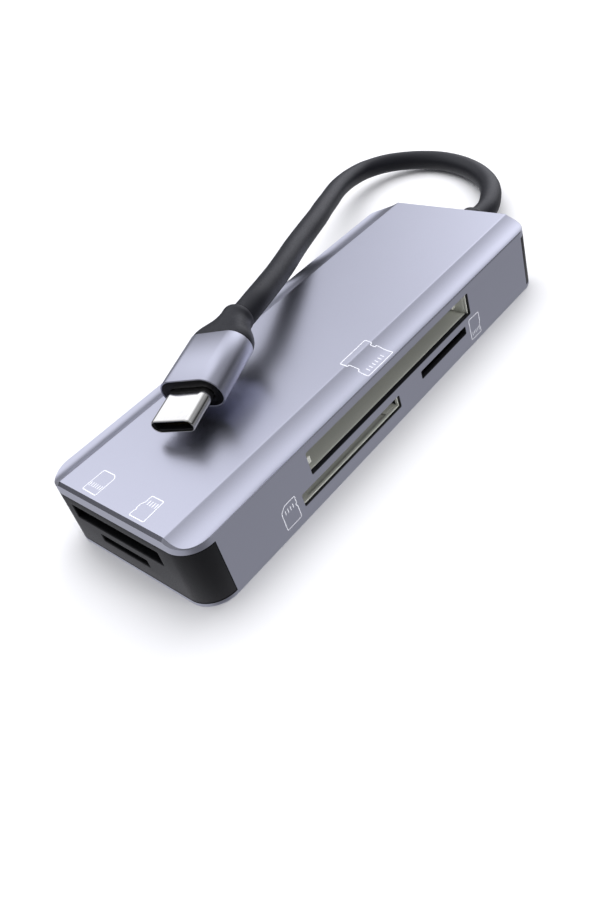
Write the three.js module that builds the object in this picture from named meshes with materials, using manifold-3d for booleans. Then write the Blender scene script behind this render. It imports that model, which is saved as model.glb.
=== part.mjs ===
// Card reader hub with a short captive USB-C lead.
// Millimetres, +Z up. The origin is the centre of the body's underside, and +Y runs along the
// body towards the end that the lead leaves from. The two narrow card slots are at the -Y end
// and the three others are in the +X side.

import * as THREE from 'three';
import { mergeVertices } from 'three/addons/utils/BufferGeometryUtils.js';
import Module from 'manifold-3d';

const wasm = await Module();
wasm.setup();

// ---------------------------------------------------------------- driving dimensions

const BODY_LENGTH = 89.6;
const BODY_WIDTH = 34.4;
const BODY_HEIGHT = 12.9; // at the flat plateau
const EDGE_HEIGHT = 11.75; // at the long outer edges, past the flutes
const PLATEAU_HALF = 12.35; // half the plateau's width
const FLUTE_PULL = { x: 15.3, z: 11.1 }; // control point of the flute's curve
const CORNER_RADIUS = 4.7; // rounded corners, seen from above
const WALL = 0.9; // side walls of the extrusion
const FLOOR = 0.66; // the bottom plate, which is also the lip under each cap
const CEILING = 10.53; // underside of the top lip over each cap
const VAULT = { half: 11, top: 11.7, length: 76 }; // thinned-out stretch under the plateau
const RAIL = { depth: 0.8, height: 0.5, clear: 0.15 }; // rails that hold the board's edges
const FIT = 0.12; // gap between pieces that fit together square
const SETBACK = 0.1; // from the wall's inner face to the mouths of the side sockets
const CAP_WALL = 1.9;
const FRONT_WRAP = 4.7; // how far the front cap wraps round onto the sides
const REAR_WRAP = 4.2;

const BOARD = { half: 16, front: -42.2, rear: 37.5, bottom: 4.95, top: 5.75 };
const BOARD_NOSE = { half: 13.8, shoulder: -39.2 }; // narrower stretch inside the front cap

// Card slots. Across is the slot's extent along Y (side slots) or X (front slots).
const SLOTS = {
  cf: { across: [-21.36, 22.18], z: [6.1, 10.22] },
  sd: { across: [-24.44, 0.12], z: [2.39, 4.65] },
  m2: { across: [6.54, 20.07], z: [3.3, 4.78] },
  ms: { across: [-11.25, 9.42], z: [6.28, 8.92] },
  tf: { across: [-6.35, 4.75], z: [3.35, 4.8] },
};

const EXIT_Z = 6; // height of the lead's centre where it leaves the rear cap
const CABLE_DIAMETER = 4.5;
const CABLE_SIDES = 10;
const RELIEF = { flange: 3.4, waist: 2.45, collar: 3.2, end: 51.3 };

// Plug: its group's origin is the centre of the sleeve's mouth, local +Y points out of the plug.
const PLUG_POSITION = [-2.43, -23.28, 16.72];
const PLUG_YAW = -163.4; // degrees about Z, then pitch about X, then roll about Y
const PLUG_PITCH = -7.3;
const PLUG_ROLL = 9.1;
const SLEEVE = { width: 11.9, height: 6.0, length: 10.8, wall: 0.3 };
const NOSE = { recess: 0.2, length: 3.2 };
const PLUG_SHELL = { width: 8.34, height: 2.56, wall: 0.22, reach: 6.65, root: 3.4 };
const NECK = { length: 7.3, collar: 5.2 };

// Centreline of the lead, from the strain relief to the plug's neck. It leaves the rear cap
// level, comes down to the surface, turns back beside the body and climbs over its edge.
const CABLE_ROUTE = [
  [0, 51.8, 6], [-0.9, 58, 5.4], [-3.7, 64.2, 4.8], [-7.4, 69.8, 4],
  [-12, 74.8, 3.2], [-17.3, 78.9, 2.7], [-23.4, 81.9, 2.4], [-30, 83.2, 2.4],
  [-36.6, 81.7, 2.8], [-41.5, 77.7, 3.6], [-43.7, 71.7, 4.6], [-43, 65.1, 5.8],
  [-40.8, 58.9, 7.1], [-37.7, 53, 8.5], [-34.3, 47.3, 9.8], [-30.9, 41.6, 11.2],
  [-27.4, 35.9, 12.5], [-24.1, 30.1, 13.8], [-21, 24.2, 14.9], [-17.9, 18.6, 16],
  [-15, 13.2, 16.8], [-12.4, 7.9, 17.5], [-10.1, 2.95, 18.25], [-8.3, -1.4, 18.8],
  [-7.3, -5.3, 18.76],
];
const CABLE_STEPS = 20;

// ---------------------------------------------------------------- materials

const finish = (color, roughness, metalness = 0) => ({ color, roughness, metalness });
const ALUMINIUM = finish('#a9abbb', 0.42, 0.9);
const CAP_PLASTIC = finish('#2b2c30', 0.55);
const JACKET = finish('#26272a', 0.6);
const PLUG_STEEL = finish('#dcdde0', 0.18, 1);
const IVORY_PLASTIC = finish('#b9bbae', 0.5);
const BLACK_PLASTIC = finish('#141416', 0.6);
const CONTACT_GOLD = finish('#c9a24e', 0.3, 1);
const SHEET_STEEL = finish('#b4b6ba', 0.3, 1);
const LAMINATE = finish('#17402c', 0.45);
const CHIP_RESIN = finish('#1b1b1d', 0.5);
const CERAMIC = finish('#8a6f50', 0.5);
const TANTALUM = finish('#b8892e', 0.45);
const WIRE_COLOURS = { red: '#a81f1f', white: '#d8d8d2', green: '#1f7a3a', black: '#151515' };

// ---------------------------------------------------------------- geometry helpers

const part = new THREE.Group();

function addMesh(name, geometry, look, parent = part) {
  const mesh = new THREE.Mesh(geometry, new THREE.MeshStandardMaterial(look));
  mesh.name = name;
  parent.add(mesh);
  return mesh;
}

function toSolid(geometry) {
  const bare = geometry.clone();
  bare.deleteAttribute('normal');
  bare.deleteAttribute('uv');
  const merged = mergeVertices(bare, 1e-5);
  return new wasm.Manifold(new wasm.Mesh({
    numProp: 3,
    vertProperties: merged.attributes.position.array,
    triVerts: Uint32Array.from(merged.index.array),
  }));
}

function toGeometry(solid) {
  const mesh = solid.getMesh();
  const geometry = new THREE.BufferGeometry();
  geometry.setAttribute('position', new THREE.BufferAttribute(mesh.vertProperties, 3));
  geometry.setIndex(new THREE.BufferAttribute(mesh.triVerts, 1));
  geometry.computeVertexNormals();
  return geometry;
}

/** Joins the added geometries and cuts the removed ones out of them. */
function build(added, removed = []) {
  let solid = toSolid(added[0]);
  for (const geometry of added.slice(1)) solid = solid.add(toSolid(geometry));
  for (const geometry of removed) solid = solid.subtract(toSolid(geometry));
  return toGeometry(solid);
}

function block([x0, x1], [y0, y1], [z0, z1]) {
  const box = new THREE.BoxGeometry(x1 - x0, y1 - y0, z1 - z0);
  return box.translate((x0 + x1) / 2, (y0 + y1) / 2, (z0 + z1) / 2);
}

/** Extrudes an (x, y) outline from z0 to z1. */
function alongZ(shape, [z0, z1], curveSegments = 8) {
  const options = { depth: z1 - z0, bevelEnabled: false, curveSegments };
  return new THREE.ExtrudeGeometry(shape, options).translate(0, 0, z0);
}

/** Extrudes an (x, z) outline from y0 to y1. */
function alongY(shape, [y0, y1], curveSegments = 8) {
  const options = { depth: y1 - y0, bevelEnabled: false, curveSegments };
  return new THREE.ExtrudeGeometry(shape, options).rotateX(Math.PI / 2).translate(0, y1, 0);
}

/** A rectangle about (cx, cy) with rounded corners; a radius of half the height is a stadium. */
function roundedRect(width, height, radius, cx = 0, cy = 0) {
  const [x, y] = [width / 2, height / 2];
  const shape = new THREE.Shape();
  const corners = [[x - radius, y - radius], [radius - x, y - radius],
    [radius - x, radius - y], [x - radius, radius - y]];
  corners.forEach(([u, v], i) => {
    const start = (i * Math.PI) / 2;
    shape.absarc(cx + u, cy + v, radius, start, start + Math.PI / 2, false);
  });
  shape.closePath();
  return shape;
}

/** Closed surface through rings of equal point counts, with a flat lid on each end ring. */
function loft(rings) {
  const count = rings[0].length;
  const positions = rings.flat().flatMap((p) => [p.x, p.y, p.z]);
  const index = [];
  for (let ring = 0; ring + 1 < rings.length; ring += 1) {
    for (let i = 0; i < count; i += 1) {
      const [a, b] = [ring * count + i, ring * count + ((i + 1) % count)];
      index.push(a, b, b + count, a, b + count, a + count);
    }
  }
  const last = (rings.length - 1) * count;
  for (let i = 1; i + 1 < count; i += 1) {
    index.push(0, i + 1, i);
    index.push(last, last + i, last + i + 1);
  }
  const geometry = new THREE.BufferGeometry();
  geometry.setAttribute('position', new THREE.Float32BufferAttribute(positions, 3));
  geometry.setIndex(index);
  geometry.computeVertexNormals();
  return geometry;
}

/** A round tube of the given diameter through the points. */
function tube(points, diameter, sides, steps) {
  const section = new THREE.Shape();
  for (let i = 0; i < sides; i += 1) {
    const angle = (i / sides) * 2 * Math.PI;
    const [x, y] = [(diameter / 2) * Math.cos(angle), (diameter / 2) * Math.sin(angle)];
    if (i === 0) section.moveTo(x, y);
    else section.lineTo(x, y);
  }
  section.closePath();
  const extrudePath = new THREE.CatmullRomCurve3(points.map((p) => new THREE.Vector3(...p)));
  return new THREE.ExtrudeGeometry(section, { steps, extrudePath, bevelEnabled: false });
}

// ---------------------------------------------------------------- aluminium housing

const HALF_LENGTH = BODY_LENGTH / 2;
const HALF_WIDTH = BODY_WIDTH / 2;
const INNER_HALF = HALF_WIDTH - WALL;
const FRONT_EDGE = -HALF_LENGTH + FRONT_WRAP; // where the front cap's wrap ends on the sides
const REAR_EDGE = HALF_LENGTH - REAR_WRAP;
const BEYOND = 30; // reaches past the body on every side

function sectionShape() {
  const shape = new THREE.Shape();
  shape.moveTo(-HALF_WIDTH, 0);
  shape.lineTo(HALF_WIDTH, 0);
  shape.lineTo(HALF_WIDTH, EDGE_HEIGHT);
  shape.quadraticCurveTo(FLUTE_PULL.x, FLUTE_PULL.z, PLATEAU_HALF, BODY_HEIGHT);
  shape.lineTo(-PLATEAU_HALF, BODY_HEIGHT);
  shape.quadraticCurveTo(-FLUTE_PULL.x, FLUTE_PULL.z, -HALF_WIDTH, EDGE_HEIGHT);
  shape.closePath();
  return shape;
}

const sideSlot = ({ across, z }) => block([INNER_HALF - 2, BEYOND], across, z);

function boardRails() {
  const under = [BOARD.bottom - RAIL.clear - RAIL.height, BOARD.bottom - RAIL.clear];
  const over = [BOARD.top + RAIL.clear, BOARD.top + RAIL.clear + RAIL.height];
  const left = [-INNER_HALF - 0.2, -INNER_HALF + RAIL.depth];
  const right = [INNER_HALF - RAIL.depth, INNER_HALF + 0.2];
  const clearOfSlots = [[-36, -28], [27, 36]];
  const rails = [];
  for (const height of [under, over]) {
    rails.push(block(left, [-36, 36], height));
    for (const stretch of clearOfSlots) rails.push(block(right, stretch, height));
  }
  return rails;
}

function housing() {
  const plan = alongZ(roundedRect(BODY_WIDTH, BODY_LENGTH, CORNER_RADIUS), [-1, BEYOND], 6);
  const bar = alongY(sectionShape(), [-HALF_LENGTH, HALF_LENGTH], 8);
  let solid = toSolid(bar).intersect(toSolid(plan));
  const hollow = [FLOOR, CEILING];
  const pockets = [
    block([-INNER_HALF, INNER_HALF], [-BEYOND * 2, BEYOND * 2], hollow),
    block([-BEYOND, BEYOND], [-BEYOND * 2, FRONT_EDGE], hollow),
    block([-BEYOND, BEYOND], [REAR_EDGE, BEYOND * 2], hollow),
    block([-VAULT.half, VAULT.half], [-VAULT.length / 2, VAULT.length / 2], [CEILING - 1, VAULT.top]),
  ];
  for (const pocket of pockets) solid = solid.subtract(toSolid(pocket));
  for (const rail of boardRails()) solid = solid.add(toSolid(rail));
  for (const slot of [SLOTS.cf, SLOTS.sd, SLOTS.m2]) solid = solid.subtract(toSolid(sideSlot(slot)));
  return toGeometry(solid);
}

addMesh('housing', housing(), ALUMINIUM);

// ---------------------------------------------------------------- end caps

const CAP_HEIGHT = [FLOOR + FIT, CEILING - FIT];
const TAB = { thickness: 1.1, reach: 3.2, heights: [[1.2, 4.1], [6.7, 9.9]] };

/** The wall that closes one end. It wraps round both corners and ends on the sides. */
function capWall(edge, sign) {
  const outer = alongZ(roundedRect(BODY_WIDTH, BODY_LENGTH, CORNER_RADIUS), CAP_HEIGHT, 8);
  const innerShape = roundedRect(BODY_WIDTH - 2 * CAP_WALL, BODY_LENGTH - 2 * CAP_WALL,
    CORNER_RADIUS - CAP_WALL);
  const inner = alongZ(innerShape, [-1, BEYOND], 8);
  const rest = sign < 0 ? [edge - FIT, BEYOND * 2] : [-BEYOND * 2, edge + FIT];
  return toSolid(outer).subtract(toSolid(inner))
    .subtract(toSolid(block([-BEYOND, BEYOND], rest, [-1, BEYOND])));
}

/** Four tabs that slide inside the extrusion, above and below the board. */
function capTabs(sign) {
  const root = HALF_LENGTH - CAP_WALL + 0.6;
  const tip = HALF_LENGTH - FRONT_WRAP - TAB.reach;
  const along = sign < 0 ? [-root, -tip] : [tip, root];
  const outside = INNER_HALF - FIT;
  const tabs = [];
  for (const height of TAB.heights) {
    tabs.push(block([outside - TAB.thickness, outside], along, height));
    tabs.push(block([-outside, TAB.thickness - outside], along, height));
  }
  return tabs;
}

function endCap(edge, sign, openings) {
  let solid = capWall(edge, sign);
  for (const tab of capTabs(sign)) solid = solid.add(toSolid(tab));
  for (const opening of openings) solid = solid.subtract(toSolid(opening));
  return toGeometry(solid);
}

const frontSlot = ({ across, z }) => block(across, [-BEYOND * 2, -HALF_LENGTH + 4], z);
addMesh('front_cap', endCap(FRONT_EDGE, -1, [frontSlot(SLOTS.ms), frontSlot(SLOTS.tf)]),
  CAP_PLASTIC);

const cableHole = new THREE.CylinderGeometry(RELIEF.waist + 0.2, RELIEF.waist + 0.2, 8, 20)
  .translate(0, HALF_LENGTH, EXIT_Z);
addMesh('rear_cap', endCap(REAR_EDGE, 1, [cableHole]), CAP_PLASTIC);

// ---------------------------------------------------------------- main board and its parts

const boardHeight = [BOARD.bottom, BOARD.top];
addMesh('main_board', build([
  block([-BOARD.half, BOARD.half], [BOARD_NOSE.shoulder, BOARD.rear], boardHeight),
  block([-BOARD_NOSE.half, BOARD_NOSE.half], [BOARD.front, BOARD_NOSE.shoulder + 1], boardHeight),
]), LAMINATE);

/** A surface-mounted component, over (side 1) or under (side -1) the board. */
function onBoard(name, [x, y], [width, length, height], look, side = 1) {
  const face = side > 0 ? BOARD.top + FIT : BOARD.bottom - FIT - height;
  addMesh(name, block([x - width / 2, x + width / 2], [y - length / 2, y + length / 2],
    [face, face + height]), look);
}

onBoard('controller_chip', [-4, 28.5], [9, 9, 1.2], CHIP_RESIN, -1);
onBoard('firmware_chip', [8.5, 29.5], [5, 4, 1.1], CHIP_RESIN, -1);
onBoard('voltage_regulator', [-10.5, 30.5], [3.6, 6.4, 1.6], CHIP_RESIN);
onBoard('crystal', [5.5, 28.4], [5, 3.2, 1.1], SHEET_STEEL);
onBoard('power_inductor', [10.8, 31.2], [4, 4, 2.2], CHIP_RESIN);
onBoard('bulk_capacitor', [-5.2, 30], [3.2, 5.2, 1.8], TANTALUM);
for (let i = 0; i < 4; i += 1) {
  onBoard(`ceramic_capacitor_${i + 1}`, [-13.2, 6 + i * 3.6], [1.2, 2, 0.9], CERAMIC);
}

// ---------------------------------------------------------------- card sockets

// Each small socket is made in its own frame: the mouth is at y = 0, the card goes in along +y,
// x runs across the card and z = 0 is the face that is soldered to the board.
const SOCKET = { side: 1.1, latchSide: 2.1, back: 1.0 };
const SHEET_COVER = { node: 'shell', look: SHEET_STEEL, thickness: 0.22, front: 0.3 };
const MOULDED_COVER = { node: 'cover', look: IVORY_PLASTIC, thickness: 0.5, front: 0 };
const LEDGE = { length: 12, height: 0.3 };

// The card-detect switch is a sprung lever in a pocket beside the card: its free end leans into
// the card's path, and the card pushes it back into the pocket.
const LEVER = { length: 4.6, thickness: 0.3, hub: 0.42, lean: 16, pocket: 1.3, back: 1.5 };

/** Tray of the socket: a floor on the board, two side walls and a back wall. */
function socketTray(s) {
  const cavity = block([-s.width / 2, s.width / 2], [-1, s.depth], [s.low, s.high + 1]);
  const removed = [cavity];
  if (s.lever) {
    removed.push(block([s.width / 2 - 1, s.width / 2 + LEVER.pocket],
      [s.depth - LEVER.length - 1.6, s.depth - 0.3], [s.low, s.high + 1]));
  }
  return build([block([s.left, s.right], [0, s.depth + SOCKET.back], [0, s.high])], removed);
}

/** Cover over the tray, folded down both sides. Its ledges carry a card's thinner edges. */
function socketCover(s) {
  const gap = FIT / 2;
  const out = gap + s.cover.thickness;
  const top = s.high + gap;
  const length = [s.cover.front, s.depth + SOCKET.back];
  const added = [
    block([s.left - out, s.right + out], length, [top, top + s.cover.thickness]),
    block([s.left - out, s.left - gap], length, [0.25, top + 0.1]),
    block([s.right + gap, s.right + out], length, [0.25, top + 0.1]),
  ];
  if (s.cover.ledges) {
    const [left, right] = s.cover.ledges;
    const [along, height] = [[s.cover.front, LEDGE.length], [s.high - LEDGE.height, top + 0.1]];
    added.push(block([gap - s.width / 2, left - s.width / 2], along, height));
    added.push(block([s.width / 2 - right, s.width / 2 - gap], along, height));
  }
  return build(added);
}

/** Spring contacts: a carrier strip along the back and one bent finger for each contact. */
function socketContacts(s) {
  const floor = s.low + 0.1;
  const finger = new THREE.Shape();
  finger.moveTo(0, 0);
  finger.lineTo(0, 0.18);
  finger.lineTo(-1.6, 0.18);
  finger.lineTo(-3.6, s.lift);
  finger.lineTo(-4.3, s.lift - 0.16);
  finger.lineTo(-4.3, s.lift - 0.34);
  finger.lineTo(-3.6, s.lift - 0.18);
  finger.lineTo(-1.6, 0);
  finger.closePath();
  const options = { depth: s.fingerWidth, bevelEnabled: false };
  const root = s.depth - 0.5;
  const added = [block([-s.comb / 2, s.comb / 2], [root - 0.5, root + 0.3], [floor, floor + 0.22])];
  for (let i = 0; i < s.contacts; i += 1) {
    const x = (i / (s.contacts - 1) - 0.5) * (s.comb - s.fingerWidth);
    const strip = new THREE.ExtrudeGeometry(finger, options)
      .applyMatrix4(new THREE.Matrix4().makeBasis(
        new THREE.Vector3(0, 1, 0), new THREE.Vector3(0, 0, 1), new THREE.Vector3(1, 0, 0)))
      .translate(x - s.fingerWidth / 2, root, floor);
    added.push(strip);
  }
  return build(added);
}

const leverPivot = (s) => [s.width / 2 + 0.75, s.depth - LEVER.back];

function detectLever(s) {
  const lever = new THREE.Group();
  const [x, y] = leverPivot(s);
  lever.position.set(x, y, 0);
  lever.rotation.z = THREE.MathUtils.degToRad(-LEVER.lean);
  const height = [s.low + 0.25, s.high - 0.25];
  const hub = new THREE.CylinderGeometry(LEVER.hub, LEVER.hub, height[1] - height[0], 12)
    .rotateX(Math.PI / 2).translate(0, 0, (height[0] + height[1]) / 2);
  const blade = block([-LEVER.thickness / 2, LEVER.thickness / 2], [-LEVER.length, 0], height);
  addMesh(`${s.name}_detect_lever`, build([hub, blade]), SHEET_STEEL, lever);
  return lever;
}

/** A socket for one card format, over or under the board, mouth towards -Y or +X. */
function cardSocket(name, facing, side, details) {
  const { across, z } = SLOTS[name];
  const face = side > 0 ? BOARD.top + FIT : BOARD.bottom - FIT;
  const heights = z.map((level) => Math.abs(level - face)).sort((a, b) => a - b);
  const width = across[1] - across[0];
  const s = { name, width, low: heights[0], high: heights[1] + 0.05, cover: SHEET_COVER,
    ...details };
  s.left = -width / 2 - SOCKET.side;
  s.right = width / 2 + (s.lever ? SOCKET.latchSide : SOCKET.side);
  const socket = new THREE.Group();
  const middle = (across[0] + across[1]) / 2;
  if (facing === 'front') socket.position.set(middle, -HALF_LENGTH + CAP_WALL + 0.3, face);
  else socket.position.set(INNER_HALF - SETBACK, middle, face);
  if (facing === 'side') socket.rotation.z = Math.PI / 2;
  if (side < 0) {
    socket.rotation.order = 'ZYX';
    socket.rotation.y = Math.PI;
  }
  addMesh(`${name}_tray`, socketTray(s), BLACK_PLASTIC, socket);
  addMesh(`${name}_${s.cover.node}`, socketCover(s), s.cover.look, socket);
  addMesh(`${name}_contacts`, socketContacts(s), CONTACT_GOLD, socket);
  if (s.lever) socket.add(detectLever(s));
  part.add(socket);
}

cardSocket('ms', 'front', 1,
  { depth: 15, contacts: 10, comb: 15, fingerWidth: 0.7, lift: 1.1, lever: true });
cardSocket('tf', 'front', -1, { depth: 12, contacts: 8, comb: 8.4, fingerWidth: 0.6, lift: 0.7 });
cardSocket('sd', 'side', -1,
  { depth: 21, contacts: 9, comb: 19, fingerWidth: 0.9, lift: 1.0, lever: true,
    cover: { ...MOULDED_COVER, ledges: [2.9, 2.0] } });
cardSocket('m2', 'side', -1, { depth: 13, contacts: 11, comb: 10.6, fingerWidth: 0.5, lift: 0.7 });

// ---------------------------------------------------------------- CompactFlash socket

const CF = {
  rail: 1.6, // how far each guide rail reaches past the slot
  guide: 0.3, // how far it reaches into the slot's ends, up to the card's edge
  rib: { reach: 1.4, z: [7.1, 8.35] }, // enters the groove in the card's edge
  floorTop: 6.1,
  headerFront: -6.5,
  headerDepth: 4,
  pins: 25,
  pitch: 1.27,
  pin: 0.45,
  rows: [7.5, 8.77],
};
const CF_BASE = BOARD.top + FIT;
const CF_TOP = CEILING - 0.15;
const CF_MOUTH = INNER_HALF - SETBACK;
const [CF_NEAR, CF_FAR] = SLOTS.cf.across;
const CF_MIDDLE = (CF_NEAR + CF_FAR) / 2;

function cfFrame() {
  const length = [CF.headerFront + FIT, CF_MOUTH];
  return build([
    block(length, [CF_NEAR - CF.rail, CF_FAR + CF.rail], [CF_BASE, CF.floorTop]),
    block(length, [CF_NEAR - CF.rail, CF_NEAR + CF.guide], [CF_BASE, CF_TOP]),
    block(length, [CF_FAR - CF.guide, CF_FAR + CF.rail], [CF_BASE, CF_TOP]),
    block(length, [CF_NEAR - FIT, CF_NEAR + CF.rib.reach], CF.rib.z),
    block(length, [CF_FAR - CF.rib.reach, CF_FAR + FIT], CF.rib.z),
  ]);
}

function cfHeader() {
  const back = CF.headerFront - CF.headerDepth;
  const body = block([back, CF.headerFront], [CF_NEAR - CF.rail, CF_FAR + CF.rail],
    [CF_BASE, CF_TOP]);
  const half = (CF.pins * CF.pitch) / 2 + 0.6;
  const recess = block([CF.headerFront - 2.2, 0], [CF_MIDDLE - half, CF_MIDDLE + half],
    [CF.rows[0] - 0.9, CF.rows[1] + 0.9]);
  return build([body], [recess]);
}

/** One row of contact pins on a carrier bar that sits in the header's recess. */
function cfPinRow(z) {
  const half = (CF.pins * CF.pitch) / 2 + 0.3;
  const bar = [CF.headerFront - 2, CF.headerFront - 1.2];
  const added = [block(bar, [CF_MIDDLE - half, CF_MIDDLE + half], [z - 0.4, z + 0.4])];
  for (let i = 0; i < CF.pins; i += 1) {
    const y = CF_MIDDLE + (i - (CF.pins - 1) / 2) * CF.pitch;
    added.push(block([bar[1] - 0.1, CF.headerFront + 5], [y - CF.pin / 2, y + CF.pin / 2],
      [z - CF.pin / 2, z + CF.pin / 2]));
  }
  return build(added);
}

addMesh('cf_frame', cfFrame(), IVORY_PLASTIC);
addMesh('cf_header', cfHeader(), IVORY_PLASTIC);
addMesh('cf_pins_lower', cfPinRow(CF.rows[0]), CONTACT_GOLD);
addMesh('cf_pins_upper', cfPinRow(CF.rows[1]), CONTACT_GOLD);

// ---------------------------------------------------------------- lead, strain relief, wires

function strainRelief() {
  const flange = HALF_LENGTH - CAP_WALL - FIT;
  const face = HALF_LENGTH + FIT;
  const profile = [
    [0, flange - 1.3], [RELIEF.flange, flange - 1.3], [RELIEF.flange, flange],
    [RELIEF.waist, flange], [RELIEF.waist, face], [RELIEF.collar, face],
    [RELIEF.collar, RELIEF.end - 1.4], [RELIEF.collar - 0.35, RELIEF.end - 0.5],
    [CABLE_DIAMETER / 2 + 0.25, RELIEF.end], [0, RELIEF.end],
  ].map(([radius, y]) => new THREE.Vector2(radius, y));
  return new THREE.LatheGeometry(profile, 20).translate(0, 0, EXIT_Z);
}

addMesh('strain_relief', strainRelief(), JACKET);
addMesh('cable', tube(CABLE_ROUTE, CABLE_DIAMETER, CABLE_SIDES, CABLE_STEPS), JACKET);

const WIRE = { diameter: 0.9, pitch: 1.3, start: 41, end: 35, rise: 0.7 };
Object.entries(WIRE_COLOURS).forEach(([colour, value], i) => {
  const x = (i - 1.5) * WIRE.pitch;
  const pad = BOARD.top + FIT + WIRE.diameter / 2;
  const route = [[x, WIRE.start, EXIT_Z], [x, WIRE.start - 1.5, EXIT_Z + WIRE.rise / 2],
    [x, BOARD.rear, pad + WIRE.rise], [x, WIRE.end, pad]];
  addMesh(`wire_${colour}`, tube(route, WIRE.diameter, 8, 6), finish(value, 0.5));
});

// ---------------------------------------------------------------- plug

const plug = new THREE.Group();
plug.position.set(...PLUG_POSITION);
plug.rotation.order = 'ZXY';
plug.rotation.set(...[PLUG_PITCH, PLUG_ROLL, PLUG_YAW].map(THREE.MathUtils.degToRad));
part.add(plug);

const stadium = (width, height) => roundedRect(width, height, height / 2 - 0.001);
const stadiumBar = (width, height, along, segments = 8) =>
  alongY(stadium(width, height), along, segments);

const SLEEVE_BORE = [SLEEVE.width - 2 * SLEEVE.wall, SLEEVE.height - 2 * SLEEVE.wall];
const noseSection = SLEEVE_BORE.map((size) => size - 2 * FIT);
const shellSection = [PLUG_SHELL.width, PLUG_SHELL.height];
const shellBore = shellSection.map((size) => size - 2 * PLUG_SHELL.wall);
const bored = (section, clearance) => section.map((size) => size + 2 * clearance);

addMesh('plug_sleeve', build(
  [stadiumBar(SLEEVE.width, SLEEVE.height, [-SLEEVE.length, 0])],
  [stadiumBar(...SLEEVE_BORE, [-BEYOND, BEYOND])],
), ALUMINIUM, plug);

const noseBack = -NOSE.recess - NOSE.length;
addMesh('plug_nose', build(
  [stadiumBar(...noseSection, [noseBack, -NOSE.recess])],
  [stadiumBar(...bored(shellSection, FIT), [-BEYOND, BEYOND])],
), BLACK_PLASTIC, plug);

const shellBack = -PLUG_SHELL.root;
addMesh('plug_shell', build(
  [stadiumBar(...shellSection, [shellBack, PLUG_SHELL.reach])],
  [stadiumBar(...shellBore, [-BEYOND, BEYOND])],
), PLUG_STEEL, plug);

// Black lining inside the steel shell, open at the front, with a contact row over and under.
const LINING = { wall: 0.5, back: -2.4, front: PLUG_SHELL.reach - 0.5 };
const liningSection = bored(shellBore, -0.08);
const mouth = [6.7, liningSection[1] - 2 * 0.3];
addMesh('plug_lining', build(
  [stadiumBar(...liningSection, [LINING.back, LINING.front])],
  [block([-mouth[0] / 2, mouth[0] / 2], [LINING.back + 1.6, BEYOND],
    [-mouth[1] / 2, mouth[1] / 2])],
), BLACK_PLASTIC, plug);

function plugContacts(sign) {
  const [count, pitch, width, thickness] = [12, 0.5, 0.25, 0.15];
  const face = mouth[1] / 2 - 0.06;
  const height = sign > 0 ? [face - thickness, face] : [-face, thickness - face];
  const root = LINING.back + 1.7;
  const half = ((count - 1) * pitch) / 2 + width / 2;
  const added = [block([-half, half], [root, root + 0.5], height)];
  for (let i = 0; i < count; i += 1) {
    const x = (i - (count - 1) / 2) * pitch;
    added.push(block([x - width / 2, x + width / 2], [root, LINING.front - 0.6], height));
  }
  return build(added);
}

addMesh('plug_contacts_upper', plugContacts(1), CONTACT_GOLD, plug);
addMesh('plug_contacts_lower', plugContacts(-1), CONTACT_GOLD, plug);

// Paddle board behind the nose, and the inner moulding that locks it in the sleeve.
const PADDLE = { width: 8, front: noseBack - 0.3, rear: noseBack - 5.2, thickness: 0.8 };
addMesh('plug_board', block([-PADDLE.width / 2, PADDLE.width / 2], [PADDLE.rear, PADDLE.front],
  [-PADDLE.thickness / 2, PADDLE.thickness / 2]), LAMINATE, plug);

const paddleSlot = bored([PADDLE.width, PADDLE.thickness], FIT).map((size) => size / 2);
addMesh('plug_inner_mould', build(
  [stadiumBar(...noseSection, [-SLEEVE.length + FIT, noseBack - FIT])],
  [block([-paddleSlot[0], paddleSlot[0]], [PADDLE.rear - FIT, BEYOND],
    [-paddleSlot[1], paddleSlot[1]])],
), JACKET, plug);

const NECK_POINTS = 28;
const NECK_RINGS = [[0, 0], [0.18, 0.04], [0.4, 0.35], [0.62, 0.8], [0.78, 1], [1, 1]];

/** A ring part way from the sleeve's stadium section (0) to the lead's round collar (1). */
function neckRing(blend, y) {
  const flat = stadium(SLEEVE.width - 0.1, SLEEVE.height - 0.1).getSpacedPoints(NECK_POINTS);
  return flat.slice(0, NECK_POINTS).map((p) => {
    const angle = Math.atan2(p.y, p.x);
    const radius = NECK.collar / 2;
    const x = THREE.MathUtils.lerp(p.x, radius * Math.cos(angle), blend);
    const z = THREE.MathUtils.lerp(p.y, radius * Math.sin(angle), blend);
    return new THREE.Vector3(x, y, z);
  });
}

function neck() {
  const front = -SLEEVE.length - FIT;
  return loft(NECK_RINGS.map(([along, blend]) => neckRing(blend, front - along * NECK.length)));
}

addMesh('plug_neck', neck(), JACKET, plug);

export default part;
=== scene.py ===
"""Looks of the card reader hub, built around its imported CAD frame.

Metres, in the CAD's frame: the origin is the centre of the body's underside, +Y runs along the
body to the end that the lead leaves from, and the card slots are at the -Y end and in the +X
side. Sizes below are in millimetres and are turned into metres where a mesh is made.
"""

import math

import bmesh
import bpy
from mathutils import Matrix, Vector


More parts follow.
